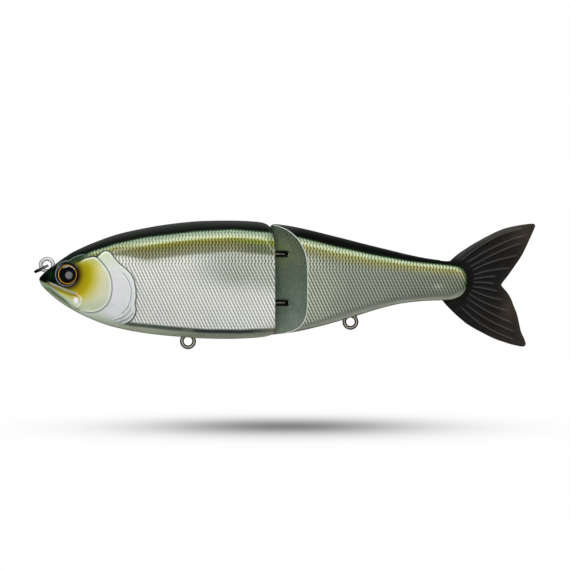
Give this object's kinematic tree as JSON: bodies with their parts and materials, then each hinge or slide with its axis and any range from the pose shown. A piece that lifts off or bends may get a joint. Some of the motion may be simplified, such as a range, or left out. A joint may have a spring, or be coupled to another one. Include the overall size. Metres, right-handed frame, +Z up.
{
  "type": "swimbait",
  "caption": "Two-piece jointed hard fishing lure shaped like a shad, with a soft fan tail, domed eyes, wire eyelets and a split ring on the nose.",
  "frame": {"origin": "centre of the overall bounding box, on the plane where the moulded halves meet", "axes": "+Z up towards the back, nose towards -X, tail towards +X, +Y towards the lure's right side"},
  "size_m": [0.1922, 0.025, 0.0493],
  "materials": {
    "body_shell": "clear-coated, pearl and silver scale pattern, dark back",
    "reflector": "bright foil",
    "eye_print": "printed, gold ring round a black pupil",
    "eye_dome": "clear polished dome",
    "steel_wire": "drawn stainless wire",
    "ring_steel": "dark nickel",
    "plug_plastic": "clear-coated",
    "ballast": "dull grey cast metal",
    "soft_tail": "satin, slightly translucent at thin edges"
  },
  "bodies": {
    "front_section": {"front_shell_left": "body_shell", "front_shell_right": "body_shell", "front_reflector_left": "reflector", "front_reflector_right": "reflector", "eye_disc_left": "eye_print", "eye_disc_right": "eye_print", "eye_lens_left": "eye_dome", "eye_lens_right": "eye_dome", "line_tie_eyelet": "steel_wire", "front_hook_eyelet": "steel_wire", "hinge_loop_upper": "steel_wire", "hinge_loop_lower": "steel_wire", "front_ballast_forward": "ballast", "front_ballast_aft": "ballast"},
    "split_ring": {"split_ring": "ring_steel"},
    "rear_section": {"rear_shell_left": "body_shell", "rear_shell_right": "body_shell", "rear_reflector_left": "reflector", "rear_reflector_right": "reflector", "hinge_pin": "steel_wire", "hinge_pin_plug": "plug_plastic", "rear_hook_eyelet": "steel_wire", "rear_ballast": "ballast", "tail_root": "soft_tail"},
    "tail_fin": {"tail_fin": "soft_tail"}
  },
  "joints": [
    {"name": "body_hinge", "type": "hinge", "parent": "front_section", "child": "rear_section", "pos_m": [-0.0008, 0, 0], "axis": [0, 0, 1], "range_deg": [-45, 45]},
    {"name": "ring_swing", "type": "hinge", "parent": "front_section", "child": "split_ring", "pos_m": [-0.09124, 0, 0.00759], "axis": [0, 1, 0], "range_deg": [-15, 170]},
    {"name": "tail_flex", "type": "hinge", "parent": "rear_section", "child": "tail_fin", "pos_m": [0.0706, 0, 0], "axis": [0, 0, 1], "range_deg": [-25, 25], "stiffness_Nm_per_rad": 0.01}
  ]
}
